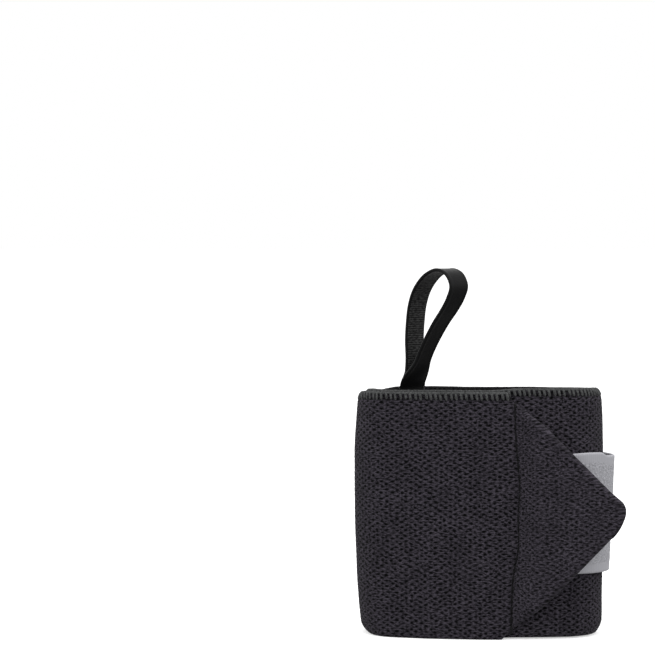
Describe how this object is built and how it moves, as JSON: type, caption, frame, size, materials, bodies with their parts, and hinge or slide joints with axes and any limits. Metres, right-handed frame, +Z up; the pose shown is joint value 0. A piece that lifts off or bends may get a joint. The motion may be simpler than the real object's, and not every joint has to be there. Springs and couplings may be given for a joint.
{
  "type": "wrist wrap",
  "caption": "Rolled knitted elastic wrist wrap with a thumb loop, a pointed end flap and a hook and loop closing strap with a moulded rubber patch.",
  "frame": {"origin": "below the middle of the bounding box, on the surface that the coil stands on", "axes": "+Z up along the coil's axis, -Y towards the side with the pointed flap, +X towards the strap's turn"},
  "size_m": [0.0882, 0.0506, 0.1197],
  "materials": {
    "band_knit": "charcoal elastic knit",
    "strap_loop_tape": "mid grey brushed loop tape",
    "hook_tape": "black woven hook tape",
    "patch_rubber": "satin moulded rubber",
    "loop_webbing": "black woven elastic webbing"
  },
  "bodies": {
    "root": {"wrap_band": "band_knit", "end_flap": "band_knit", "closing_strap": "strap_loop_tape", "hook_tape": "hook_tape", "rubber_patch": "patch_rubber", "thumb_loop": "loop_webbing"}
  },
  "joints": []
}
